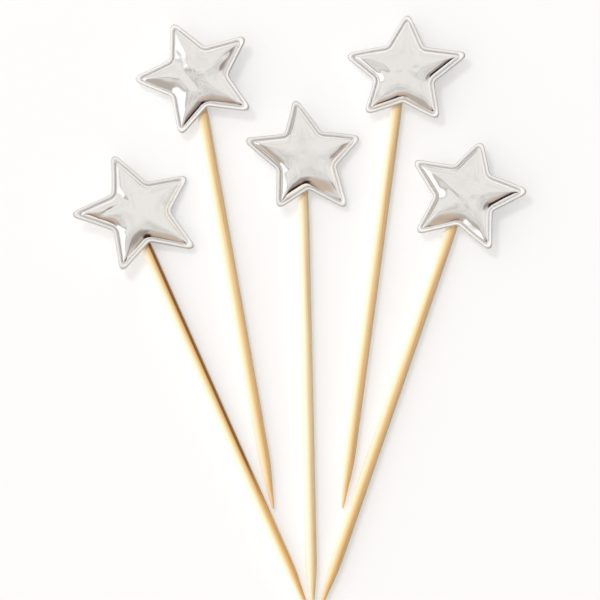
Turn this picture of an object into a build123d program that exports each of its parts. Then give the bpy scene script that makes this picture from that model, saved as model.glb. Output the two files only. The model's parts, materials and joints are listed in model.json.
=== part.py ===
from build123d import *
import os
from collections import namedtuple
from math import asin, cos, pi, sin, sqrt

# A set of five star cake toppers lying fanned on a table, in millimetres.
# +Z is up from the table, +Y runs from the skewer points to the stars, +X is to the right.
# The origin is on the table, in the middle of the whole set.

# Star outline
points = 5
corner_radius = 16.8
notch_radius = 8.1
point_round = 1.3

# Padded star: backing sheet, foil cover with its welded bead and groove, foam inside
backing_thickness = 0.5
film_thickness = 0.25
bead_width = 1.05
bead_height = 0.7
bead_chamfer = 0.3
bead_inner_flat = 0.5
groove_width = 0.35
crown_height = 2.8
crown_run = 3.2

# Bamboo skewer: sharpened point, straight shank, slightly slimmer butt behind the star
skewer_diameter = 3.0
point_length = 12.0
point_tip_diameter = 0.6
shank_length = 89.5
shoulder_length = 3.0
butt_length = 15.5
butt_diameter = 2.66

# Hot-melt glue bead between skewer and backing
glue_film = 0.15
glue_length = 12.0
glue_width = 6.6
glue_depth = 2.5

# Where each topper lies: its skewer's point on the table, the skewer's lean from +Y, the
# star's twist on its skewer, its sideways offset from the skewer, how far the skewer's butt
# goes up past the star's centre, and the roll about the skewer, right side down
Topper = namedtuple("Topper", "name x y lean twist side overlap roll")
toppers = [
    Topper("left", 1.76, -76.42, 24.0, -3.4, 1.4, 9.1, 10.0),
    Topper("upper_left", -7.36, -49.95, 10.15, 10.7, 0.2, 8.0, -4.0),
    Topper("centre", 2.55, -76.68, 1.26, 3.9, 0.5, 3.9, 9.0),
    Topper("upper_right", 10.2, -49.89, -7.7, 5.3, 0.8, 7.3, -1.0),
    Topper("right", 4.33, -75.73, -19.1, 4.4, 0.7, 7.8, -2.0),
]

# Angles and insets that follow from the sizes above
half_step = pi / points
edge_length = sqrt(
    corner_radius**2 + notch_radius**2 - 2 * corner_radius * notch_radius * cos(half_step)
)
point_half_angle = asin(notch_radius * sin(half_step) / edge_length)
notch_half_angle = pi - half_step - point_half_angle
skewer_radius = skewer_diameter / 2
foot_inset = bead_width + groove_width


def star_corner(inset, step):
    """One corner of the star, drawn in from its cut edge: even steps are points, odd ones notches."""
    corner = corner_radius - inset / sin(point_half_angle)
    notch = notch_radius - inset / sin(notch_half_angle)
    radius = notch if step % 2 else corner
    angle = pi / 2 + step * half_step
    return radius * cos(angle), radius * sin(angle)


class StarOutline(BaseSketchObject):
    """A five-pointed star, drawn in evenly from the cut edge, its points rounded or cut flat."""

    def __init__(self, inset=0.0, point_round=0.0, point_flat=0.0, mode=Mode.ADD):
        with BuildSketch() as star:
            with BuildLine():
                Polyline(*[star_corner(inset, step) for step in range(2 * points)], close=True)
            make_face()
            point_corners = star.vertices().sort_by_distance((0, 0, 0))[points:]
            if point_round > 0:
                fillet(point_corners, point_round)
            if point_flat > 0:
                chamfer(point_corners, point_flat)
        super().__init__(obj=star.sketch, align=None, mode=mode)


def puffed_crown(inset, base, run, height):
    """A crowned star: every flank is an arc that rises from the foot and rounds over to the top."""
    normal_angle = pi - point_half_angle
    inward = Vector(-cos(normal_angle), -sin(normal_angle), 0)
    apothem = corner_radius * sin(point_half_angle) - inset
    foot = inward * -apothem
    flank_plane = Plane(origin=(foot.X, foot.Y, base), x_dir=inward, z_dir=inward.cross(Vector(0, 0, 1)))
    plateau_end = max(run, apothem)
    with BuildPart() as crown:
        # One flank, as long as its edge
        with BuildSketch(flank_plane):
            with BuildLine():
                TangentArc((run, height), (0, 0), tangent=(-1, 0))
                Polyline((0, 0), (plateau_end, 0), (plateau_end, height), (run, height))
            make_face()
        extrude(amount=2 * edge_length, both=True)
        # Cut back to half an arm, then doubled and repeated round the star
        with BuildSketch(Plane.XY.offset(base)):
            with BuildLine():
                Polyline((0, 0), star_corner(inset, 0), star_corner(inset, 1), close=True)
            make_face()
        extrude(amount=height, mode=Mode.INTERSECT)
        mirror(about=Plane.YZ)
        arm = crown.part
        arm_step = 360 / points
        with PolarLocations(0, points - 1, start_angle=arm_step, angular_range=360 - arm_step):
            add(arm)
    return crown.part


def place(piece, location, label):
    """Writes a copy of a finished piece at its place in the set, under its own name."""
    with BuildPart() as placed:
        with Locations(location):
            add(piece)
    placed.part.label = label
    export_step(placed.part, f"parts/{label}.step")


# Skewer, turned about +Y, with its point at the origin
shank_start = point_length
shank_end = shank_start + shank_length
butt_start = shank_end + shoulder_length
skewer_length = butt_start + butt_length
with BuildPart() as skewer:
    with BuildSketch(Plane.XY):
        with BuildLine():
            Polyline(
                (0, 0),
                (point_tip_diameter / 2, 0),
                (skewer_radius, shank_start),
                (skewer_radius, shank_end),
                (butt_diameter / 2, butt_start),
                (butt_diameter / 2, skewer_length),
                (0, skewer_length),
                close=True,
            )
        make_face()
    revolve(axis=Axis.Y)

# Backing sheet, its back on the XY plane
with BuildPart() as backing:
    with BuildSketch(Plane.XY):
        StarOutline(point_round=point_round)
    extrude(amount=backing_thickness)

# Foam pad on the backing, crowned, flat underneath
foam_inset = foot_inset + film_thickness
foam_run = crown_run - film_thickness
with BuildPart() as foam_pad:
    add(puffed_crown(foam_inset, backing_thickness, foam_run, crown_height))

# Foil cover: welded edge with a raised bead, a groove, and the crown puffed up over the foam
film_top = backing_thickness + film_thickness
with BuildPart() as foil_cover:
    with BuildSketch(Plane.XY.offset(backing_thickness)):
        StarOutline(point_round=point_round)
        StarOutline(inset=bead_width, point_flat=bead_inner_flat, mode=Mode.SUBTRACT)
    extrude(amount=bead_height)
    chamfer(foil_cover.edges().group_by(Axis.Z)[-1], bead_chamfer)
    with BuildSketch(Plane.XY.offset(backing_thickness)):
        StarOutline(inset=bead_width, point_flat=bead_inner_flat)
    extrude(amount=film_thickness)
    add(puffed_crown(foot_inset, film_top, crown_run, crown_height))
    add(foam_pad.part, mode=Mode.SUBTRACT)

# The five toppers
os.makedirs("parts", exist_ok=True)
for topper in toppers:
    lying = Location((topper.x, topper.y, skewer_radius), (0, 0, topper.lean))
    rolled = lying * Location((0, 0, 0), (0, topper.roll, 0))
    under_star = rolled * Location((0, skewer_length - topper.overlap, 0))
    star_seat = under_star * Location((topper.side, 0, skewer_radius + glue_film), (0, 0, topper.twist))

    # Glue bead under the backing, a loaf that grips the skewer's butt
    glue_top = skewer_radius + glue_film
    glue_left = (-glue_width / 2, glue_top)
    glue_right = (glue_width / 2, glue_top)
    with BuildPart() as glue_bead:
        with BuildSketch(Plane.XZ.offset(-glue_length / 2)):
            with BuildLine():
                ThreePointArc(glue_left, (0, glue_top - glue_depth), glue_right)
                Line(glue_left, glue_right)
            make_face()
        extrude(amount=glue_length)
        with BuildSketch(Plane.XY.offset(glue_top)):
            SlotOverall(glue_length, glue_width, rotation=90)
        extrude(amount=-glue_depth, mode=Mode.INTERSECT)
        with Locations((0, topper.overlap - skewer_length, 0)):
            add(skewer.part, mode=Mode.SUBTRACT)

    place(skewer.part, rolled, f"{topper.name}_skewer")
    place(glue_bead.part, under_star, f"{topper.name}_glue_bead")
    place(backing.part, star_seat, f"{topper.name}_backing")
    place(foam_pad.part, star_seat, f"{topper.name}_foam_pad")
    place(foil_cover.part, star_seat, f"{topper.name}_foil_cover")
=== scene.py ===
import json
from collections import namedtuple
from math import atan2, cos, exp, pi, radians, sin, sqrt

import bmesh
import bpy
from bpy.props import FloatProperty, FloatVectorProperty, PointerProperty
from mathutils import Matrix, Vector, noise


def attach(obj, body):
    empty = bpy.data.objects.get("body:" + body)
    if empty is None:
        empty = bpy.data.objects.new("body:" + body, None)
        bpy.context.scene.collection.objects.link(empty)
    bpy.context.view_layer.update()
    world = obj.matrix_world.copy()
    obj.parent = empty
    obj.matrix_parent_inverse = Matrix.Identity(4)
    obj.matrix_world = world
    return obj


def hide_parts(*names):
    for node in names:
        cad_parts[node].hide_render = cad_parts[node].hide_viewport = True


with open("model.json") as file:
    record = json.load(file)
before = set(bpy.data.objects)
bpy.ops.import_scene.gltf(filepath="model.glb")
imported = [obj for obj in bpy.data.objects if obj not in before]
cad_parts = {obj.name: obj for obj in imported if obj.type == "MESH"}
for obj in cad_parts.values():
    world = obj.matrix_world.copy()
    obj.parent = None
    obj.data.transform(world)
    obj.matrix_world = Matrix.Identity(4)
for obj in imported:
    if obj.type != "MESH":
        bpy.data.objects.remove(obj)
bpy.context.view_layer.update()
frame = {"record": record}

bl_info = {
    "name": "Foil Star Toppers",
    "version": (1, 0, 0),
    "blender": (4, 5, 0),
    "location": "View3D > Sidebar > Toppers",
    "description": "Dresses a set of padded foil stars on bamboo skewers",
    "category": "Add Mesh",
}

MM = 0.001
POINTS = 5

# A dent pressed into the foil: its middle on the star, half length and half width, the turn of
# its length from the star's own X, and its depth, in millimetres and degrees. A negative depth
# is a bulge.
Dent = namedtuple("Dent", "x y long wide turn depth")

# How each star sits on its skewer (millimetres and degrees), the tone of its bamboo from pale
# to orange, how far in its crown rounds over, how far each of its points is pulled from a true
# star (top point first, then anticlockwise), and its dents
Topper = namedtuple("Topper", "name twist side overlap roll tone run pulls dents")
TOPPERS = [
    Topper(
        "left", -3.4, 1.4, 9.1, 10.0, 1.0, 0.85,
        [(-1.05, 0.3), (-1.6, 0.2), (-0.2, -0.1), (1.1, -0.8), (0.1, -0.35)],
        [
            Dent(-3.2, 5.0, 2.6, 0.7, 110, 0.75),
            Dent(-6.4, 2.6, 2.8, 0.7, 12, 0.6),
            Dent(1.7, -1.6, 0.9, 0.5, 80, 0.07),
            Dent(-4.4, -9.2, 4.5, 2.8, 24, 0.9),
            Dent(4.2, -9.2, 4.0, 1.4, -24, 0.3),
        ],
    ),
    Topper(
        "upper_left", 10.7, 0.2, 8.0, -4.0, 0.45, 1.1,
        [(-0.9, -0.5), (-0.1, 0.4), (0.2, 0.4), (0.6, -0.2), (0.4, 0.1)],
        [
            Dent(-1.6, 8.1, 1.8, 0.8, 95, 0.35),
            Dent(-1.7, 0.0, 3.5, 1.2, -72, 0.35),
            Dent(-3.9, -0.4, 3.0, 1.5, -72, -0.3),
            Dent(9.3, 2.4, 1.6, 0.9, 24, 0.45),
            Dent(7.6, 3.7, 1.3, 0.4, 6, 0.1),
            Dent(4.6, 2.3, 1.3, 1.1, 0, 0.12),
            Dent(-10.3, 1.4, 4.0, 1.6, -43, 0.5),
        ],
    ),
    Topper(
        "centre", 3.9, 0.5, 3.9, 9.0, 0.05, 0.65,
        [(-1.35, -0.45), (-0.4, 1.0), (0.9, 0.6), (0.1, -0.6), (-0.45, -0.45)],
        [
            Dent(-0.8, 0.7, 0.9, 0.7, 40, 0.06),
            Dent(4.1, -0.8, 0.9, 0.7, -20, 0.06),
            Dent(-2.4, -3.1, 2.5, 0.5, 100, 0.08),
            Dent(-4.2, -9.2, 4.0, 1.3, 24, 0.4),
            Dent(4.4, -9.2, 4.0, 2.2, -24, 1.4),
        ],
    ),
    Topper(
        "upper_right", 5.3, 0.8, 7.3, -1.0, 0.4, 0.6,
        [(0.2, -0.9), (-0.1, -1.2), (-0.1, 1.6), (-0.1, 1.0), (0.8, 0.3)],
        [
            Dent(3.0, 0.7, 0.8, 0.6, -45, 0.07),
            Dent(-1.3, -0.7, 0.6, 0.5, 0, 0.05),
            Dent(1.0, -2.4, 2.6, 2.0, 0, 0.08),
            Dent(-6.8, 0.8, 3.0, 0.8, -35, 0.2),
            Dent(4.2, -9.2, 4.0, 1.4, -24, 0.5),
        ],
    ),
    Topper(
        "right", 4.4, 0.7, 7.8, -2.0, 0.5, 0.9,
        [(0.4, -1.55), (0.0, 0.2), (-0.4, 0.1), (0.4, 0.5), (0.2, -0.1)],
        [
            Dent(3.3, 2.0, 1.2, 0.4, -15, 0.08),
            Dent(2.5, -0.8, 1.0, 0.9, 90, 0.07),
            Dent(-2.0, -1.4, 2.5, 0.4, -30, 0.1),
            Dent(-4.2, -9.2, 4.0, 1.9, 24, 1.2),
            Dent(4.2, -9.2, 4.0, 1.7, -24, 0.7),
        ],
    ),
]
SKEWER_MOUNTS = {mount["name"]: mount for mount in frame["record"]["mounts"]}

# Facets of the outline: round a point, round a notch and along a straight edge
POINT_FACETS = 10
NOTCH_FACETS = 6
EDGE_CUTS = 22

# How much sharper the points and rounder the notches get with the inset, the least rounding of a
# point, the most of an edge that each may take, and the radius between notches and points
POINT_SHARPENING = 1.2
NOTCH_ROUNDING = 0.5
POINT_LEAST = 0.4
POINT_MOST = 0.5
NOTCH_MOST = 0.35
BETWEEN = 0.62

# The bead: facets over its top, how full its sides are, and the rings of the cut edge and groove that carry
# painted shade
BEAD_FACETS = 18
BEAD_FULLNESS = 0.8
EDGE_SHADE_RINGS = 8
GROOVE_SHADE_RINGS = 3

# The crown: how far in its rings go, how they crowd at its foot, how many there are in foil and
# foam, the rounds of smoothing, and the rings at the foot that smoothing leaves alone
CROWN_REACH = 5.5 * MM
RING_CROWDING = 1.6
FOIL_RINGS = 36
FOAM_RINGS = 24
FOIL_SMOOTHING = 100
FOAM_SMOOTHING = 60
HELD_RINGS = 3

# Powers that blend the distances to a star's edges, and that distance with a ring's own depth, and
# how much faster that depth grows than the ring's inset
EDGE_BLEND = 3
FOOT_BLEND = 5
RING_STRETCH = 1.3

# Film over foam: the modelled film over the real one, the foam's height over the crown's, and
# how far the foam's foot stands back from the foil's, in film thicknesses
FILM_SHARE = 0.96
FOAM_SHARE = 0.97
FOAM_SETBACK = 1.1

# Uneven foil: change of height per millimetre across and degree of roll, waves per millimetre,
# and the height of the small waves over that of the slow ones
LEAN = 0.0031
SLOW_WAVES = 0.24
SMALL_WAVES = 0.6
SMALL_SHARE = 0.1

# Uneven outline: waves per millimetre, and a gain because a rounded point ends short of its corner
WANDER_WAVES = 0.13
PULL_GAIN = 1.2

# Felt: the rounding of its cut edge, and its whole area over that of the flat face inside the rounding
FELT_EASE = 0.08 * MM
FELT_AREA = 1.1

# Glue: shares by which its outline and its depth wander, and waves per millimetre
GLUE_LUMPS = 0.09
GLUE_LUMP_WAVES = 0.35
GLUE_SAG = 0.94
GLUE_SAG_LUMPS = 0.05
GLUE_SAG_WAVES = 0.5

# Skewer: how its cut ends are eased, from the end and as a share of the radius
TIP_EASE = 0.25 * MM
TIP_SHARE = 0.6
BUTT_EASE = 0.3 * MM
BUTT_SHARE = 0.88

# Skewer: stations on its point and steps along its shank, the depth of its flats and of its fine
# planing as shares of the radius, and waves round it and per millimetre along it
POINT_STATIONS = (0.2, 0.4, 0.6, 0.8, 0.96)
SHANK_STEPS = 24
FLAT_DEPTH = 0.03
PLANING_DEPTH = 0.012
PLANING_WAVES = 3.0
ROUND_WAVES = 0.9
LONG_WAVES = 0.02

# Where each kind of unevenness starts in the noise: X is multiplied by the topper's place in the list
CROWN_SEED = (7.3, 1.7, 0.4)
OUTLINE_SEED = (3.1, 9.2, 5.5)
GLUE_SEED = (2.9, 0.3, 8.1)
SKEWER_SEED = (5.7, 4.4, 2.2)

# Stage: half the table's width and its share of plain white, the lamp overhead on the left, the
# fill from the room, and the camera's sensor in millimetres
TABLE_HALF_WIDTH = 3.0
TABLE_GLOW = 0.46
LAMP_DIRECTION = (-0.34, 0.39, 0.857)
LAMP_DISTANCE = 2.0
LAMP_COLOUR = (0.97, 1.0, 1.03)
FILL_COLOUR = (1.0, 0.95, 0.91)
SENSOR_WIDTH = 36.0

# Colours of the room that the foil mirrors
WHITE = (1.0, 1.0, 1.0)
NEAR_WALL = (0.58, 0.52, 0.48)
DIM_SPOT = (0.45, 0.43, 0.46)
CORNER = (0.42, 0.34, 0.31)
DEEP_CORNER = (0.22, 0.17, 0.14)
WOOD_LOW = (0.3, 0.21, 0.17)
WOOD_HIGH = (0.6, 0.48, 0.38)
TAUPE = (0.5, 0.45, 0.4)
DARK_WOOD = (0.04, 0.018, 0.015)
WINDOW_FRAME = (0.52, 0.49, 0.45)


def length(name, description, default):
    """A size in millimetres, kept in metres."""
    return FloatProperty(
        name=name, description=description, default=default * MM,
        subtype="DISTANCE", unit="LENGTH", precision=5,
    )


def colour(name, description, default):
    """A finish's colour."""
    return FloatVectorProperty(
        name=name, description=description, default=default, subtype="COLOR", min=0.0, max=1.0
    )


def share(name, description, default):
    """A share, from none to all."""
    return FloatProperty(
        name=name, description=description, default=default, subtype="FACTOR", min=0.0, max=1.0
    )


class StarSizes(bpy.types.PropertyGroup):
    corner_radius: length("Corner radius", "Centre to a point's sharp corner, before rounding", 16.8)
    notch_radius: length("Notch radius", "Centre to a notch", 8.1)
    point_ease: length("Point ease", "How far along the edges a point is rounded", 2.8)
    notch_ease: length("Notch ease", "How far along the edges a notch is rounded", 0.7)
    backing_thickness: length("Backing thickness", "Felt sheet behind the star", 0.5)
    film_thickness: length("Film thickness", "Foil film", 0.25)
    bead_width: length("Bead width", "Welded bead round the edge", 0.78)
    bead_height: length("Bead height", "Bead above the backing", 0.7)
    groove_width: length("Groove width", "Crease between the bead and the crown", 0.12)
    crown_height: length("Crown height", "Puffed crown's middle above the groove", 2.3)
    dome_radius: length("Dome radius", "Reach of the puffed middle from the star's centre", 14.5)
    dome_share: share("Dome share", "Part of the crown's height that swells towards the middle", 0.1)
    edge_wander: length("Edge wander", "How far the cut edge strays from the drawn star", 0.1)
    crown_ripple: length("Crown ripple", "Height of the slow waves in the foil", 0.09)


class SkewerSizes(bpy.types.PropertyGroup):
    diameter: length("Diameter", "Bamboo shank", 3.0)
    point_length: length("Point length", "Sharpened end", 12.0)
    tip_diameter: length("Tip diameter", "Blunt end of the point", 0.6)
    shank_length: length("Shank length", "Straight part", 89.5)
    shoulder_length: length("Shoulder length", "Taper from shank to butt", 3.0)
    butt_length: length("Butt length", "Slimmer end behind the star", 15.5)
    butt_diameter: length("Butt diameter", "Slimmer end behind the star", 2.66)
    glue_film: length("Glue film", "Glue between skewer and backing", 0.15)
    glue_length: length("Glue length", "Glue bead along the skewer", 12.0)
    glue_width: length("Glue width", "Glue bead across the skewer", 6.6)
    glue_depth: length("Glue depth", "Glue bead below the backing", 2.5)


class FinishColours(bpy.types.PropertyGroup):
    foil_bright: colour("Foil", "Silver foil where it is clean", (0.91, 0.905, 0.9))
    foil_dull: colour("Dull foil", "Silver foil where it is handled", (0.885, 0.88, 0.875))
    foil_rim: colour("Foil rim", "Frosted foil on the welded rim", (0.97, 0.965, 0.96))
    # Painted shade in the groove inside the rim
    foil_groove_shade: colour("Foil line", "Groove inside the rim", (0.86, 0.85, 0.835))
    # Painted shade along the cut edge of the foil
    foil_edge_shade: colour("Foil edge", "Cut edge of the foil", (0.6, 0.595, 0.58))
    foil_roughness: share("Foil roughness", "Blur of the foil's reflections", 0.05)
    foam: colour("Foam", "Foam pad", (0.88, 0.88, 0.86))
    felt: colour("Felt", "Backing sheet", (0.8, 0.8, 0.79))
    # Painted shade in the gaps between the felt's fibres
    felt_shade: colour("Felt shade", "Gaps between the felt's fibres", (0.66, 0.66, 0.65))
    glue: colour("Glue", "Hot-melt glue", (0.86, 0.8, 0.66))
    glue_cloud: colour("Glue cloud", "Cloudy streaks in the glue", (0.93, 0.9, 0.82))
    bamboo_pale: colour("Pale bamboo", "Light fibres", (0.99, 0.8, 0.5))
    bamboo_orange: colour("Orange bamboo", "Light fibres on the darker skewers", (0.92, 0.56, 0.2))
    bamboo_fibre: colour("Bamboo fibre", "Dark fibres", (0.64, 0.39, 0.14))
    # Painted light: cream along the side of each skewer that faces the lamp
    bamboo_lit_cream: colour("Bamboo pith", "Cream inner wood along one side", (1.0, 0.95, 0.82))
    # Painted shade along the side of each skewer away from the lamp, and the brown skin of the darkest
    # skewer
    bamboo_skin_and_shade: colour("Bamboo skin", "Brown skin left along the other side", (0.26, 0.11, 0.02))
    table: colour("Table", "White table", (0.98, 0.98, 0.98))


class StageSizes(bpy.types.PropertyGroup):
    camera_distance: length("Camera distance", "From the middle of the view", 1500.0)
    camera_tilt: FloatProperty(
        name="Camera tilt", description="From overhead", default=radians(6), subtype="ANGLE"
    )
    camera_x: length("Camera X", "Middle of the view", -0.58)
    camera_y: length("Camera Y", "Middle of the view", 3.45)
    lens: FloatProperty(name="Lens", description="Focal length in millimetres", default=353.1, min=1.0)
    lamp_power: FloatProperty(name="Lamp power", description="Soft lamp", default=9.3, unit="POWER")
    lamp_size: length("Lamp size", "Width of the soft lamp", 420.0)
    room_level: FloatProperty(name="Room level", description="Brightness of the room overhead", default=0.9)


class TopperSet(bpy.types.PropertyGroup):
    star: PointerProperty(type=StarSizes)
    skewer: PointerProperty(type=SkewerSizes)
    finish: PointerProperty(type=FinishColours)
    stage: PointerProperty(type=StageSizes)


class Wire:
    """A node's output in Python expressions: arithmetic adds Math nodes to its tree."""

    def __init__(self, tree, socket=None):
        self.tree = tree
        self.socket = socket

    def node(self, kind, settings=None, inputs=None, output=0):
        """Adds a node: its settings first, then the values or links of its sockets."""
        made = self.tree.nodes.new(kind)
        for name, value in (settings or {}).items():
            setattr(made, name, value)
        for name, value in (inputs or {}).items():
            if isinstance(value, Wire):
                self.tree.links.new(value.socket, made.inputs[name])
            elif isinstance(value, (tuple, list)) and made.inputs[name].type == "RGBA":
                made.inputs[name].default_value = (*value[:3], 1.0)
            else:
                made.inputs[name].default_value = value
        if isinstance(output, str) or len(made.outputs) > 0:
            return Wire(self.tree, made.outputs[output])
        return None

    def reckon(self, operation, first, second=0.0):
        """A Math node on two values."""
        return self.node("ShaderNodeMath", {"operation": operation}, {0: first, 1: second})

    def __add__(self, other):
        return self.reckon("ADD", self, other)

    def __radd__(self, other):
        return self.reckon("ADD", other, self)

    def __sub__(self, other):
        return self.reckon("SUBTRACT", self, other)

    def __rsub__(self, other):
        return self.reckon("SUBTRACT", other, self)

    def __mul__(self, other):
        return self.reckon("MULTIPLY", self, other)

    def __rmul__(self, other):
        return self.reckon("MULTIPLY", other, self)

    def __truediv__(self, other):
        return self.reckon("DIVIDE", self, other)

    def __rtruediv__(self, other):
        return self.reckon("DIVIDE", other, self)

    def rise(self, low, high):
        """0 below low, 1 above high, eased between."""
        return self.node(
            "ShaderNodeMapRange",
            {"interpolation_type": "SMOOTHSTEP"},
            {"Value": self, "From Min": low, "From Max": high},
        )

    def mix(self, first, second):
        """One colour to another by this factor."""
        return self.node("ShaderNodeMix", {"data_type": "RGBA"}, {0: self, 6: first, 7: second}, 2)


def new_material(name):
    """An empty node material, and a wire to build it with."""
    material = bpy.data.materials.new(name)
    material.use_nodes = True
    material.node_tree.nodes.clear()
    return material, Wire(material.node_tree)


def grain_noise(tree, stretch, scale, detail, seed=0.0):
    """Noise on the piece's own grain attribute, which is in millimetres."""
    grain = tree.node("ShaderNodeAttribute", {"attribute_name": "grain"}, output="Vector")
    place = tree.node(
        "ShaderNodeMapping",
        inputs={"Vector": grain, "Location": (seed, seed, seed), "Scale": stretch},
    )
    return tree.node(
        "ShaderNodeTexNoise", inputs={"Vector": place, "Scale": scale, "Detail": detail, "Roughness": 0.55}
    )


def surface(tree, inputs):
    """Ends a material in a Principled shader."""
    shader = tree.node("ShaderNodeBsdfPrincipled", inputs=inputs)
    tree.node("ShaderNodeOutputMaterial", inputs={"Surface": shader})


def foil_material(finish):
    """Mirror foil, a little dull where it is handled, frosted on the rim, with painted shade: grey at the
    cut edge and darker in the groove.
    """
    material, tree = new_material("foil_finish")
    crinkle = grain_noise(tree, (1, 1, 1), 0.35, 2.0)
    speck = grain_noise(tree, (1, 1, 1), 3.0, 2.0, seed=7.0)
    handled = crinkle.rise(0.52, 0.72)
    rim = tree.node("ShaderNodeAttribute", {"attribute_name": "rim"}, output="Fac")
    # The groove and the cut edge, where shade is painted
    line = tree.node("ShaderNodeAttribute", {"attribute_name": "line"}, output="Fac")
    edge = tree.node("ShaderNodeAttribute", {"attribute_name": "edge"}, output="Fac")
    dents = tree.node(
        "ShaderNodeBump", inputs={"Strength": 0.02, "Distance": 0.0004, "Height": crinkle + speck * 0.1}
    )
    clean = handled.mix(tuple(finish.foil_bright), tuple(finish.foil_dull))
    # Painted shade: darker colour in the groove inside the rim
    lined = line.mix(rim.mix(clean, tuple(finish.foil_rim)), tuple(finish.foil_groove_shade))
    surface(tree, {
        # Painted shade: grey along the cut edge
        "Base Color": edge.mix(lined, tuple(finish.foil_edge_shade)),
        "Metallic": 1.0 - rim * 0.75,
        "Roughness": finish.foil_roughness + handled * 0.03 + speck * 0.02 + rim * 0.35,
        "Normal": dents,
    })
    return material


def foam_material(finish):
    """White foam with open cells, with painted shade in their pits."""
    material, tree = new_material("foam_finish")
    cells = grain_noise(tree, (1, 1, 1), 4.0, 2.0)
    pits = tree.node("ShaderNodeBump", inputs={"Strength": 0.6, "Distance": 0.0002, "Height": cells})
    # Painted shade: a darker copy of the foam colour where the cells dip
    shade = tuple(0.9 * part for part in finish.foam)
    surface(tree, {
        "Base Color": cells.rise(0.35, 0.65).mix(shade, tuple(finish.foam)),
        "Roughness": 0.95,
        "Normal": pits,
    })
    return material


def felt_material(finish):
    """Grey-white felt: fibres that cross, with painted shade in the gaps between them."""
    material, tree = new_material("felt_finish")
    across = grain_noise(tree, (1, 0.18, 1), 5.0, 3.0)
    along = grain_noise(tree, (0.18, 1, 1), 5.0, 3.0, seed=3.0)
    fibres = across.reckon("MAXIMUM", across, along)
    fuzz = tree.node("ShaderNodeBump", inputs={"Strength": 0.7, "Distance": 0.00015, "Height": fibres})
    surface(tree, {
        "Base Color": fibres.rise(0.4, 0.68).mix(tuple(finish.felt_shade), tuple(finish.felt)),
        "Roughness": 0.92 - fibres * 0.1,
        "Sheen Weight": 0.25,
        "Normal": fuzz,
    })
    return material


def glue_material(finish):
    """Cloudy hot-melt glue, drawn out in strings."""
    material, tree = new_material("glue_finish")
    cloud = grain_noise(tree, (1, 0.4, 1), 0.5, 3.0)
    strings = grain_noise(tree, (1.5, 0.25, 1.5), 1.2, 2.0, seed=5.0)
    waves = tree.node("ShaderNodeBump", inputs={"Strength": 0.35, "Distance": 0.0003, "Height": strings})
    surface(tree, {
        "Base Color": cloud.rise(0.35, 0.65).mix(tuple(finish.glue), tuple(finish.glue_cloud)),
        "Roughness": 0.22 + strings * 0.2,
        "Subsurface Weight": 0.3,
        "Subsurface Radius": (0.002, 0.0016, 0.001),
        "Normal": waves,
    })
    return material


def bamboo_material(finish):
    """Bamboo with fibres, more orange to the point, with painted light in cream along the side towards the
    lamp and painted shade along the side away from it, where the darkest skewer also has brown skin.
    """
    material, tree = new_material("bamboo_finish")
    # Along is millimetres from the point, and across is millimetres from the skewer's middle
    grain = tree.node("ShaderNodeAttribute", {"attribute_name": "grain"}, output="Vector")
    along = tree.node("ShaderNodeSeparateXYZ", inputs={"Vector": grain}, output="Y")
    across = tree.node("ShaderNodeSeparateXYZ", inputs={"Vector": grain}, output="X")
    tone = tree.node("ShaderNodeAttribute", {"attribute_name": "tone"}, output="Fac")
    warm = tone * (1.7 - along * 0.009)
    broad = grain_noise(tree, (1, 0.02, 1), 0.7, 2.0)
    fine = grain_noise(tree, (1, 0.012, 1), 2.2, 3.0, seed=11.0)
    patchy = grain_noise(tree, (0.3, 0.06, 0.3), 0.6, 2.0, seed=23.0)
    pale = warm.mix(tuple(finish.bamboo_pale), tuple(finish.bamboo_orange))
    fibre = (fine.rise(0.48, 0.72) * 0.4 + broad.rise(0.5, 0.72) * 0.3) * (0.8 + tone * 0.5)
    tint = (fibre + patchy.rise(0.55, 0.8) * 0.15).mix(pale, tuple(finish.bamboo_fibre))
    # Painted light: cream along the side that faces the lamp, local -X
    lit_side = (0.0 - across).rise(-0.3, 1.3)
    tint = (lit_side * 0.75).mix(tint, tuple(finish.bamboo_lit_cream))
    # Painted shade along the side away from the lamp on every skewer; from a third of the way up the
    # darkest skewer, deeper painted shade and brown skin, with a brown line along that side
    skin_and_shade_reach = tone.rise(0.8, 1.0) * along.rise(26.0, 46.0)
    shaded_side = (across + skin_and_shade_reach * 0.4).rise(0.5, 1.3) * (0.08 + skin_and_shade_reach * 0.5)
    skin_and_shade_line = skin_and_shade_reach * across.rise(0.2, 0.55) * (1 - across.rise(0.8, 1.2))
    tint = (shaded_side + skin_and_shade_line * 0.7).mix(tint, tuple(finish.bamboo_skin_and_shade))
    ribs = tree.node(
        "ShaderNodeBump", inputs={"Strength": 0.35, "Distance": 0.0001, "Height": fine + broad}
    )
    surface(tree, {
        "Base Color": tint,
        "Roughness": 0.42 + fibre * 0.25,
        "Normal": ribs,
    })
    return material


def shared(name, make, finish):
    """The material of that name, made the first time that it is asked for."""
    return bpy.data.materials.get(name) or make(finish)


def skewer_frame(topper, skewer):
    """The skewer's own frame: its point at the origin, its length along +Y, rolled as it lies."""
    mount = SKEWER_MOUNTS[f"{topper.name}_skewer_shank"]
    to_point = Vector(mount["axis"])
    lean = atan2(to_point.x, -to_point.y)
    lying = Matrix.Translation(mount["pos_m"]) @ Matrix.Rotation(lean, 4, "Z")
    point = Matrix.Translation((0, -skewer.shank_length / 2 - skewer.point_length, 0))
    return lying @ point @ Matrix.Rotation(radians(topper.roll), 4, "Y")


def under_star(topper, skewer):
    """The spot on the skewer's axis under the star's centre."""
    whole = skewer.point_length + skewer.shank_length + skewer.shoulder_length + skewer.butt_length
    return skewer_frame(topper, skewer) @ Matrix.Translation((0, whole - topper.overlap * MM, 0))


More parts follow.
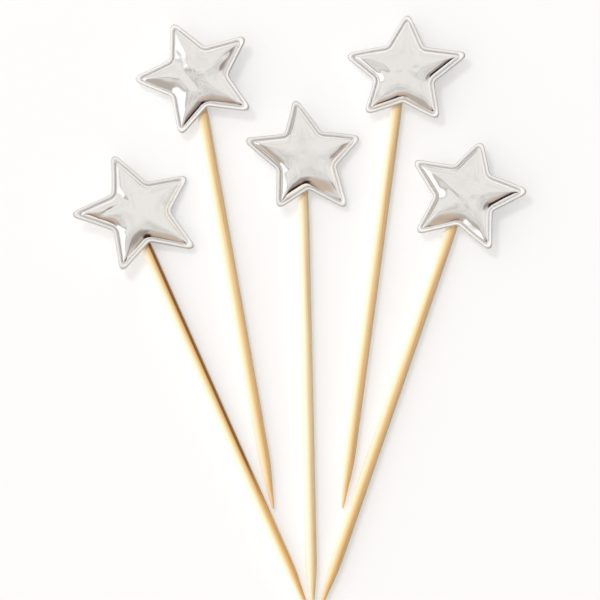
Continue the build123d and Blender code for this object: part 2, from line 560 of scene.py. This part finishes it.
def star_seat(topper, skewer):
    """The star's own frame: the middle of its back, its top point along +Y."""
    lift = skewer.diameter / 2 + skewer.glue_film
    seat = under_star(topper, skewer) @ Matrix.Translation((topper.side * MM, 0, lift))
    return seat @ Matrix.Rotation(radians(topper.twist), 4, "Z")


def mark(bm, groups):
    """Gives groups of vertices an attribute of 1 that a material reads by the group's name."""
    bm.verts.index_update()
    chosen = {name: [vert.index for vert in verts] for name, verts in groups.items()}
    for name in groups:
        bm.verts.layers.float.new(name)
    bm.verts.ensure_lookup_table()
    for name, indices in chosen.items():
        layer = bm.verts.layers.float[name]
        for index in indices:
            bm.verts[index][layer] = 1.0


def finish_piece(bm, name, place, topper, nodes, material):
    """Makes an object of a mesh at its place, on its topper's body, in place of its CAD nodes."""
    bm.verts.layers.float.new("tone")
    grain = bm.verts.layers.float_vector.new("grain")
    tone = bm.verts.layers.float["tone"]
    for vert in bm.verts:
        vert[grain] = vert.co / MM
        vert[tone] = topper.tone
    for face in bm.faces:
        face.smooth = True
    bmesh.ops.transform(bm, matrix=place, verts=bm.verts)
    mesh = bpy.data.meshes.new(name)
    bm.to_mesh(mesh)
    bm.free()
    mesh.materials.append(material)
    piece = bpy.data.objects.new(name, mesh)
    bpy.context.scene.collection.objects.link(piece)
    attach(piece, f"{topper.name}_topper")
    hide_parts(*nodes)
    return piece


def smooth_more(piece):
    """One level of subdivision, the same in the view and the render."""
    modifier = piece.modifiers.new("Smooth", "SUBSURF")
    modifier.levels = modifier.render_levels = 1


def star_apothem(star):
    """Centre to the line of an edge."""
    edge = sqrt(
        star.corner_radius ** 2 + star.notch_radius ** 2
        - 2 * star.corner_radius * star.notch_radius * cos(pi / POINTS)
    )
    return star.corner_radius * star.notch_radius * sin(pi / POINTS) / edge


def star_ring(star, inset, height):
    """A loop of edges on the star's outline drawn in by inset: rounded points, eased notches."""
    shrink = 1 - inset / star_apothem(star)
    ring = bmesh.new()
    corners = bmesh.ops.create_circle(
        ring, segments=2 * POINTS, radius=star.corner_radius * shrink,
        matrix=Matrix.Translation((0, 0, height)),
    )["verts"]
    pull = star.notch_radius / star.corner_radius
    bmesh.ops.scale(ring, vec=(pull, pull, 1), verts=corners[1::2])
    # Further in, points get sharper and notches rounder, within what an edge's length allows
    reach = min(edge.calc_length() for edge in ring.edges)
    sharper = star.point_ease - POINT_SHARPENING * inset
    point_ease = min(max(sharper, POINT_LEAST * star.point_ease * shrink), POINT_MOST * reach)
    notch_ease = min(star.notch_ease + NOTCH_ROUNDING * inset, NOTCH_MOST * reach)
    between = star.corner_radius * shrink * BETWEEN
    for far, ease, facets in ((True, point_ease, POINT_FACETS), (False, notch_ease, NOTCH_FACETS)):
        turns = [vert for vert in ring.verts if (vert.co.xy.length > between) == far]
        bmesh.ops.bevel(
            ring, geom=turns, offset=ease, offset_type="OFFSET", affect="VERTICES",
            segments=facets, profile=0.5, material=-1,
        )
    ring.edges.index_update()
    straights = sorted(ring.edges, key=lambda edge: -edge.calc_length())[:2 * POINTS]
    straights.sort(key=lambda edge: edge.index)
    bmesh.ops.subdivide_edges(ring, edges=straights, cuts=EDGE_CUTS)
    return ring


def star_rings(bm, star, steps):
    """Rings at (inset, height) steps, each extruded from the last: gives the rings and edge loops."""
    outline = star_ring(star, *steps[0])
    carrier = bpy.data.meshes.new("outline")
    outline.to_mesh(carrier)
    outline.free()
    bm.from_mesh(carrier)
    bpy.data.meshes.remove(carrier)
    rings = [bm.verts[:]]
    loops = [bm.edges[:]]
    for inset, height in steps[1:]:
        outline = star_ring(star, inset, height)
        spots = {vert: spot.co.copy() for vert, spot in zip(rings[-1], outline.verts)}
        outline.free()
        grown = bmesh.ops.extrude_edge_only(bm, edges=loops[-1])["geom"]
        partner = {}
        for vert in grown:
            if isinstance(vert, bmesh.types.BMVert):
                others = (edge.other_vert(vert) for edge in vert.link_edges)
                below = next(other for other in others if other in spots)
                vert.co = spots[below]
                partner[below] = vert
        rings.append([partner[vert] for vert in rings[-1]])
        loops.append([part for part in grown if isinstance(part, bmesh.types.BMEdge)])
    return rings, loops


def edge_distance(star, inset, x, y):
    """Smoothed distance from a point in the star to the nearest of its edges, drawn in by inset."""
    shrink = 1 - inset / star_apothem(star)
    total = 0.0
    for step in range(2 * POINTS):
        radii = (star.corner_radius, star.notch_radius)
        a = pi / 2 + step * pi / POINTS
        b = a + pi / POINTS
        start = Vector((cos(a), sin(a))) * (radii[step % 2] * shrink)
        along = Vector((cos(b), sin(b))) * (radii[1 - step % 2] * shrink) - start
        offset = Vector((x, y)) - start
        part = min(max(offset.dot(along) / along.length_squared, 0.0), 1.0)
        gap = max((offset - along * part).length, 1e-6)
        total += (MM / gap) ** EDGE_BLEND
    return MM / total ** (1 / EDGE_BLEND)


def crown_depths(star, rings, insets, foot_inset):
    """How far in from the crown's foot every vertex of the rings lies."""
    depths = []
    for ring, inset in zip(rings, insets):
        own = RING_STRETCH * max(inset - foot_inset, 1e-7)
        gaps = [edge_distance(star, foot_inset, vert.co.x, vert.co.y) for vert in ring]
        sums = [gap ** -FOOT_BLEND + own ** -FOOT_BLEND for gap in gaps]
        depths.append([total ** (-1 / FOOT_BLEND) for total in sums])
    return depths


def seed_for(topper, start):
    """Where one topper's own stretch of a noise starts."""
    return Vector((start[0] * TOPPERS.index(topper), start[1], start[2]))


def puff(topper, rings, depths, base, height):
    """Raises the crown's rings: steep at the foot, easing over to a level top."""
    for ring, row in zip(rings, depths):
        for vert, depth in zip(ring, row):
            vert.co.z = base + height * (1 - exp(-depth / (topper.run * MM)))


def crumple(star, topper, rings, base, height):
    """Swells the level top towards its middle, leans it, and adds waves and this star's dents."""
    seed = seed_for(topper, CROWN_SEED)
    for vert in sum(rings, []):
        place = Vector((vert.co.x, vert.co.y, 0)) / MM
        full = (vert.co.z - base) / height
        swell = 1 - min(vert.co.xy.length / star.dome_radius, 1.0) ** 2
        rise = height * (1 - star.dome_share + star.dome_share * swell)
        rise *= 1 - LEAN * topper.roll * place.x
        rise += star.crown_ripple * noise.noise(place * SLOW_WAVES + seed)
        rise += star.crown_ripple * SMALL_SHARE * noise.noise(place * SMALL_WAVES - seed)
        for dent in topper.dents:
            turn = radians(dent.turn)
            off = Vector((place.x - dent.x, place.y - dent.y))
            along = (off.x * cos(turn) + off.y * sin(turn)) / dent.long
            across = (off.y * cos(turn) - off.x * sin(turn)) / dent.wide
            rise -= dent.depth * MM * exp(-along * along - across * across)
        vert.co.z = base + full * max(rise, 0.0)


def soften(bm, verts, rounds):
    """Eases the creases between the flanks, in height only."""
    for _ in range(rounds):
        bmesh.ops.smooth_vert(bm, verts=verts, factor=0.5, use_axis_z=True)


def stray(bm, star, topper):
    """Pulls the points off a true star and lets the edge wander, alike in every layer of one star."""
    seed = seed_for(topper, OUTLINE_SEED)
    for vert in bm.verts:
        flat = vert.co.xy.copy()
        reach = min(flat.length / star.corner_radius, 1.0)
        place = Vector((flat.x, flat.y, 0)) / MM * WANDER_WAVES
        wander = Vector((noise.noise(place + seed), noise.noise(place - seed)))
        moved = wander * (star.edge_wander * reach)
        for step, pull in enumerate(topper.pulls):
            turn = pi / 2 + step * 2 * pi / POINTS
            near = max(flat.x * cos(turn) + flat.y * sin(turn), 0.0) / max(flat.length, 1e-9)
            moved += Vector(pull) * (MM * PULL_GAIN * reach ** 2 * near ** 6)
        vert.co.xy = flat + moved


def crown_insets(foot_inset, rings):
    """Insets of the crown's rings, close together at its foot."""
    return [foot_inset + CROWN_REACH * (step / rings) ** RING_CROWDING for step in range(rings + 1)]


def bead_steps(star):
    """Steps from the backing over the welded bead to the floor of the groove."""
    floor = star.backing_thickness + star.film_thickness
    swell = star.bead_height - star.film_thickness
    steps = [(0.0, star.backing_thickness)]
    for step in range(BEAD_FACETS + 1):
        turn = pi * step / BEAD_FACETS
        inset = star.bead_width * (0.5 - 0.5 * cos(turn))
        steps.append((inset, floor + swell * sin(turn) ** BEAD_FULLNESS))
    return steps


class FoilCovers(bpy.types.Operator):
    """Makes the five silver foil covers, each with its welded bead, groove and puffed crown"""

    bl_idname = "toppers.foil_covers"
    bl_label = "Foil covers"

    def execute(self, context):
        toppers = context.scene.topper_set
        star = toppers.star
        floor = star.backing_thickness + star.film_thickness
        rim = bead_steps(star)
        foot = star.bead_width + star.groove_width
        insets = crown_insets(foot, FOIL_RINGS)
        steps = rim + [(star.bead_width + 0.4 * star.groove_width, floor)]
        steps += [(inset, floor) for inset in insets]
        material = shared("foil_finish", foil_material, toppers.finish)
        depths = None
        for topper in TOPPERS:
            bm = bmesh.new()
            rings, loops = star_rings(bm, star, steps)
            crown = rings[-len(insets):]
            depths = depths or crown_depths(star, crown, insets, foot)
            puff(topper, crown, depths, floor, star.crown_height)
            soften(bm, sum(crown[HELD_RINGS:], []), FOIL_SMOOTHING)
            crumple(star, topper, crown, floor, star.crown_height)
            middle = bmesh.ops.edgeloop_fill(bm, edges=loops[-1])["faces"]
            bmesh.ops.poke(bm, faces=middle)
            stray(bm, star, topper)
            # Painted shade goes on the rings of the cut edge and of the groove
            groove = rings[len(rim):len(rim) + GROOVE_SHADE_RINGS]
            mark(bm, {
                "rim": sum(rings[:len(rim)], []),
                "edge": sum(rings[:EDGE_SHADE_RINGS], []),
                "line": sum(groove, []),
            })
            bmesh.ops.recalc_face_normals(bm, faces=bm.faces)
            if sum(face.normal.z for face in bm.faces) < 0:
                bmesh.ops.reverse_faces(bm, faces=bm.faces)
            piece = finish_piece(
                bm, f"{topper.name}_foil_star", star_seat(topper, toppers.skewer), topper,
                [f"{topper.name}_foil_cover"], material,
            )
            film = piece.modifiers.new("Film", "SOLIDIFY")
            film.thickness = star.film_thickness * FILM_SHARE
            film.offset = -1.0
        return {"FINISHED"}


class FoamPads(bpy.types.Operator):
    """Makes the foam pad inside each foil cover"""

    bl_idname = "toppers.foam_pads"
    bl_label = "Foam pads"

    def execute(self, context):
        toppers = context.scene.topper_set
        star = toppers.star
        base = star.backing_thickness
        height = star.crown_height * FOAM_SHARE
        foot = star.bead_width + star.groove_width + star.film_thickness * FOAM_SETBACK
        insets = crown_insets(foot, FOAM_RINGS)[:-1]
        steps = [(inset, base) for inset in insets]
        material = shared("foam_finish", foam_material, toppers.finish)
        depths = None
        for topper in TOPPERS:
            bm = bmesh.new()
            rings, loops = star_rings(bm, star, steps)
            depths = depths or crown_depths(star, rings, insets, foot)
            puff(topper, rings, depths, base, height)
            soften(bm, sum(rings[HELD_RINGS:], []), FOAM_SMOOTHING)
            crumple(star, topper, rings, base, height)
            middle = bmesh.ops.edgeloop_fill(bm, edges=loops[-1])["faces"]
            bmesh.ops.poke(bm, faces=middle)
            bmesh.ops.edgeloop_fill(bm, edges=loops[0])
            stray(bm, star, topper)
            bmesh.ops.recalc_face_normals(bm, faces=bm.faces)
            piece = finish_piece(
                bm, f"{topper.name}_foam_star", star_seat(topper, toppers.skewer), topper,
                [f"{topper.name}_foam_pad"], material,
            )
        return {"FINISHED"}


class Backings(bpy.types.Operator):
    """Makes the felt sheet behind each star, cut with its edge flush with the foil"""

    bl_idname = "toppers.backings"
    bl_label = "Backings"

    def execute(self, context):
        toppers = context.scene.topper_set
        star = toppers.star
        ease = FELT_EASE
        face_inset = ease * 6
        back = star.backing_thickness
        steps = [(face_inset, 0.0), (ease, 0.0), (0.0, ease)]
        steps += [(0.0, back - ease), (ease, back), (face_inset, back)]
        material = shared("felt_finish", felt_material, toppers.finish)
        for topper in TOPPERS:
            bm = bmesh.new()
            _, loops = star_rings(bm, star, steps)
            bmesh.ops.edgeloop_fill(bm, edges=loops[0])
            top = bmesh.ops.edgeloop_fill(bm, edges=loops[-1])["faces"]
            area = sum(face.calc_area() for face in top)
            stray(bm, star, topper)
            bmesh.ops.recalc_face_normals(bm, faces=bm.faces)
            piece = finish_piece(
                bm, f"{topper.name}_felt_star", star_seat(topper, toppers.skewer), topper,
                [f"{topper.name}_backing"], material,
            )
            area * FELT_AREA
        return {"FINISHED"}


class GlueBeads(bpy.types.Operator):
    """Makes the bead of hot-melt glue that holds each star on its skewer"""

    bl_idname = "toppers.glue_beads"
    bl_label = "Glue beads"

    def execute(self, context):
        toppers = context.scene.topper_set
        skewer = toppers.skewer
        top = skewer.diameter / 2 + skewer.glue_film
        material = shared("glue_finish", glue_material, toppers.finish)
        for topper in TOPPERS:
            seed = seed_for(topper, GLUE_SEED)
            bm = bmesh.new()
            bmesh.ops.create_uvsphere(bm, u_segments=40, v_segments=28, radius=1.0)
            size = (skewer.glue_width / 2, skewer.glue_length / 2, skewer.glue_depth)
            bmesh.ops.scale(bm, vec=size, verts=bm.verts)
            for vert in bm.verts:
                swell = 1 + GLUE_LUMPS * noise.noise(vert.co / MM * GLUE_LUMP_WAVES + seed)
                vert.co.x *= swell
                vert.co.y *= swell
                lumps = noise.noise(vert.co / MM * GLUE_SAG_WAVES - seed)
                vert.co.z *= GLUE_SAG + GLUE_SAG_LUMPS * lumps
            cut = bmesh.ops.bisect_plane(
                bm, geom=bm.verts[:] + bm.edges[:] + bm.faces[:], plane_co=(0, 0, 0), plane_no=(0, 0, 1),
                clear_outer=True,
            )
            rim = [part for part in cut["geom_cut"] if isinstance(part, bmesh.types.BMEdge)]
            bmesh.ops.edgeloop_fill(bm, edges=rim)
            bmesh.ops.recalc_face_normals(bm, faces=bm.faces)
            bmesh.ops.translate(bm, vec=(0, 0, top), verts=bm.verts)
            finish_piece(
                bm, f"{topper.name}_glue_blob", under_star(topper, skewer), topper,
                [f"{topper.name}_glue_bead"], material,
            )
        return {"FINISHED"}


class Skewers(bpy.types.Operator):
    """Makes the five bamboo skewers: not quite round, each with a sharpened point"""

    bl_idname = "toppers.skewers"
    bl_label = "Skewers"

    def execute(self, context):
        toppers = context.scene.topper_set
        skewer = toppers.skewer
        full = skewer.diameter / 2
        butt = skewer.butt_diameter / 2
        tip = skewer.tip_diameter / 2
        shank_end = skewer.point_length + skewer.shank_length
        butt_start = shank_end + skewer.shoulder_length
        whole = butt_start + skewer.butt_length
        stations = [(0.0, tip * TIP_SHARE), (TIP_EASE, tip)]
        for part in POINT_STATIONS:
            stations.append((skewer.point_length * part, tip + (full - tip) * part))
        for step in range(1, SHANK_STEPS + 1):
            stations.append((skewer.point_length + skewer.shank_length * step / SHANK_STEPS, full))
        stations += [(butt_start, butt), (whole - BUTT_EASE, butt), (whole, butt * BUTT_SHARE)]
        upright = Matrix.Rotation(-pi / 2, 4, "X")
        material = shared("bamboo_finish", bamboo_material, toppers.finish)
        for topper in TOPPERS:
            seed = seed_for(topper, SKEWER_SEED)
            bm = bmesh.new()
            loop = bmesh.ops.create_circle(
                bm, segments=32, radius=stations[0][1], cap_ends=True, matrix=upright
            )["verts"]
            rings = [loop]
            edges = bm.edges[:]
            for (before, narrow), (after, wide) in zip(stations, stations[1:]):
                grown = bmesh.ops.extrude_edge_only(bm, edges=edges)["geom"]
                loop = [part for part in grown if isinstance(part, bmesh.types.BMVert)]
                edges = [part for part in grown if isinstance(part, bmesh.types.BMEdge)]
                bmesh.ops.translate(bm, vec=(0, after - before, 0), verts=loop)
                bmesh.ops.scale(bm, vec=(wide / narrow, 1, wide / narrow), verts=loop)
                rings.append(loop)
            bmesh.ops.edgeloop_fill(bm, edges=edges)
            for ring, (along, radius) in zip(rings, stations):
                for vert in ring:
                    facing = Vector((vert.co.x, 0, vert.co.z)) / radius
                    spot = (facing.x * ROUND_WAVES, along / MM * LONG_WAVES, facing.z * ROUND_WAVES)
                    place = Vector(spot) + seed
                    flats = FLAT_DEPTH * abs(noise.noise(place))
                    planing = PLANING_DEPTH * abs(noise.noise(place * PLANING_WAVES))
                    vert.co.x *= 1 - flats - planing
                    vert.co.z *= 1 - flats - planing
            bmesh.ops.recalc_face_normals(bm, faces=bm.faces)
            piece = finish_piece(
                bm, f"{topper.name}_bamboo_stick", skewer_frame(topper, skewer), topper,
                [f"{topper.name}_skewer"], material,
            )
            smooth_more(piece)
        return {"FINISHED"}


def table_material(finish):
    """White table: keeps its shadows, and is lifted towards plain white for the camera and mirrors."""
    material, tree = new_material("white_table")
    paint = tree.node("ShaderNodeBsdfDiffuse", inputs={"Color": tuple(finish.table)})
    path = tree.node("ShaderNodeLightPath").socket.node.outputs
    camera = Wire(material.node_tree, path["Is Camera Ray"])
    mirrored = Wire(material.node_tree, path["Is Glossy Ray"])
    glow = tree.node("ShaderNodeEmission", inputs={"Color": WHITE, "Strength": 1.0})
    lifted = TABLE_GLOW * (camera + mirrored)
    both = tree.node("ShaderNodeMixShader", inputs={0: lifted, 1: paint, 2: glow})
    tree.node("ShaderNodeOutputMaterial", inputs={"Surface": both})
    return material


def room_world(stage):
    """A pale room: bright window on the left, darker furniture low on the near side."""
    world = bpy.data.worlds.new("pale_room")
    bpy.context.scene.world = world
    world.use_nodes = True
    world.node_tree.nodes.clear()
    tree = Wire(world.node_tree)
    facing = tree.node("ShaderNodeTexCoord", output="Generated")
    parts = tree.node("ShaderNodeSeparateXYZ", inputs={"Vector": facing}).socket.node.outputs
    x, y, z = (Wire(world.node_tree, parts[name]) for name in "XYZ")
    level = x.reckon("SQRT", x * x + y * y + 1e-6)

    # Bearings are degrees anticlockwise from +X, and z runs from 0 at the table to 1 overhead
    def towards(bearing, wide, narrow):
        """1 round a bearing, easing out to 0 between two angles from it."""
        turn = radians(bearing)
        return ((x * cos(turn) + y * sin(turn)) / level).rise(cos(radians(wide)), cos(radians(narrow)))

    def spot(bearing, height, wide):
        """1 round one direction of the room, given by its bearing and its angle above the table."""
        turn = radians(bearing)
        up = radians(height)
        along = x * (cos(turn) * cos(up)) + y * (sin(turn) * cos(up)) + z * sin(up)
        return along.rise(cos(radians(wide)), cos(radians(wide * 0.4)))

    def pane(wide, top):
        """1 inside the window, or inside a frame round it: its top comes down towards the near side."""
        return towards(196, wide + 7, wide - 6) * (1 - (z - y * 0.66).rise(top, top + 0.12))

    # Where things are in the room
    window = pane(31, 0.8)
    frame_round = pane(34, 0.88)
    tan = towards(258, 50, 30) * (1 - z.rise(0.6, 0.92))
    taupe = towards(222, 36, 14)
    foot_line = towards(298, 34, 20) * (1 - z.rise(0.05, 0.2))
    sill = towards(168, 13, 7) * (1 - z.rise(0.04, 0.14))
    dark = foot_line.reckon("MAXIMUM", foot_line, spot(309, 8, 29)) + sill * 0.8
    dim_spots = spot(270, 82, 8) * 0.7 + spot(330, 72, 9) * 0.6 + spot(240, 70, 8) * 0.4
    clouds = tree.node("ShaderNodeTexNoise", inputs={"Vector": facing, "Scale": 3.0, "Detail": 0.0})
    clutter = tree.node("ShaderNodeTexNoise", inputs={"Vector": facing, "Scale": 28.0, "Detail": 1.0})
    # Ceiling and walls, then what stands in front of them
    near_wall = (0.12 - y).rise(0.0, 0.06)
    gloom = (0.0 - y).rise(0.15, 0.7)
    grey = stage.room_level - clouds.rise(0.35, 0.75) * 0.08
    grey = grey - near_wall * (0.04 + clutter.rise(0.45, 0.62) * z.rise(0.85, 0.95) * 0.13)
    ceiling = tree.node("ShaderNodeCombineColor", inputs={0: grey, 1: grey * 0.978, 2: grey * 0.94})
    walls = (gloom * 0.7).mix(ceiling, NEAR_WALL)
    walls = (dim_spots * 0.55).mix(walls, DIM_SPOT)
    walls = (spot(318, 28, 42) * 0.4).mix(walls, CORNER)
    walls = (spot(331, 38, 22) * 0.65).mix(walls, DEEP_CORNER)
    wood = taupe.mix(z.rise(0.05, 0.6).mix(WOOD_LOW, WOOD_HIGH), TAUPE)
    walls = tan.mix(walls, wood)
    walls = dark.mix(walls, DARK_WOOD)
    walls = frame_round.mix(walls, WINDOW_FRAME)
    walls = window.mix(walls, WHITE)
    seen = tree.node("ShaderNodeBackground", inputs={"Color": walls, "Strength": 1.0 + window * 0.15})
    # Matt surfaces are lit by a plain fill, brighter from the left
    side = x.reckon("MAXIMUM", 0.82 - x * 0.9, 0.03)
    fill = tree.node("ShaderNodeBackground", inputs={"Color": FILL_COLOUR, "Strength": side})
    plain = tree.node("ShaderNodeBackground", inputs={"Color": WHITE, "Strength": 1.0})
    path = tree.node("ShaderNodeLightPath").socket.node.outputs
    mirrored = Wire(world.node_tree, path["Is Glossy Ray"])
    camera = Wire(world.node_tree, path["Is Camera Ray"])
    light = tree.node("ShaderNodeMixShader", inputs={0: mirrored, 1: fill, 2: seen})
    shown = tree.node("ShaderNodeMixShader", inputs={0: camera, 1: light, 2: plain})
    tree.node("ShaderNodeOutputWorld", inputs={"Surface": shown})


class Stage(bpy.types.Operator):
    """Makes the white table, the soft lamp, the pale room and the camera overhead"""

    bl_idname = "toppers.stage"
    bl_label = "Stage"

    def execute(self, context):
        toppers = context.scene.topper_set
        stage = toppers.stage
        bm = bmesh.new()
        bmesh.ops.create_grid(bm, x_segments=1, y_segments=1, size=TABLE_HALF_WIDTH)
        mesh = bpy.data.meshes.new("white_table")
        bm.to_mesh(mesh)
        bm.free()
        mesh.materials.append(table_material(toppers.finish))
        table = bpy.data.objects.new("white_table", mesh)
        context.scene.collection.objects.link(table)

        lamp = bpy.data.lights.new("soft_lamp", "AREA")
        lamp.shape = "DISK"
        lamp.size = stage.lamp_size
        lamp.energy = stage.lamp_power
        lamp.color = LAMP_COLOUR
        lamp_object = bpy.data.objects.new("soft_lamp", lamp)
        direction = Vector(LAMP_DIRECTION).normalized()
        lamp_object.location = direction * LAMP_DISTANCE
        lamp_object.rotation_mode = "QUATERNION"
        lamp_object.rotation_quaternion = direction.to_track_quat("Z", "Y")
        lamp_object.visible_glossy = False
        context.scene.collection.objects.link(lamp_object)

        room_world(stage)

        camera = bpy.data.cameras.new("overhead_camera")
        camera.lens = stage.lens
        camera.sensor_width = SENSOR_WIDTH
        camera_object = bpy.data.objects.new("overhead_camera", camera)
        camera_object.rotation_euler.x = stage.camera_tilt
        back_off = Vector((0, -sin(stage.camera_tilt), cos(stage.camera_tilt))) * stage.camera_distance
        camera_object.location = Vector((stage.camera_x, stage.camera_y, 0)) + back_off
        context.scene.collection.objects.link(camera_object)
        context.scene.camera = camera_object
        context.scene.view_settings.view_transform = "Standard"
        return {"FINISHED"}


OPERATORS = (FoilCovers, FoamPads, Backings, GlueBeads, Skewers, Stage)


class TopperPanel(bpy.types.Panel):
    """Lists the pieces of the topper set and their sizes"""

    bl_idname = "TOPPERS_PT_set"
    bl_label = "Foil star toppers"
    bl_space_type = "VIEW_3D"
    bl_region_type = "UI"
    bl_category = "Toppers"

    def draw(self, context):
        toppers = context.scene.topper_set
        for operator in OPERATORS:
            self.layout.operator(operator.bl_idname)
        for group in (toppers.star, toppers.skewer, toppers.finish, toppers.stage):
            box = self.layout.box()
            for name in group.__annotations__:
                box.prop(group, name)


CLASSES = (StarSizes, SkewerSizes, FinishColours, StageSizes, TopperSet, *OPERATORS, TopperPanel)


def register():
    for each in CLASSES:
        bpy.utils.register_class(each)
    bpy.types.Scene.topper_set = PointerProperty(type=TopperSet)


def unregister():
    del bpy.types.Scene.topper_set
    for each in reversed(CLASSES):
        bpy.utils.unregister_class(each)


def main():
    register()
    bpy.ops.toppers.stage()
    bpy.ops.toppers.foil_covers()
    bpy.ops.toppers.foam_pads()
    bpy.ops.toppers.backings()
    bpy.ops.toppers.glue_beads()
    bpy.ops.toppers.skewers()


if __name__ == "__main__":
    main()
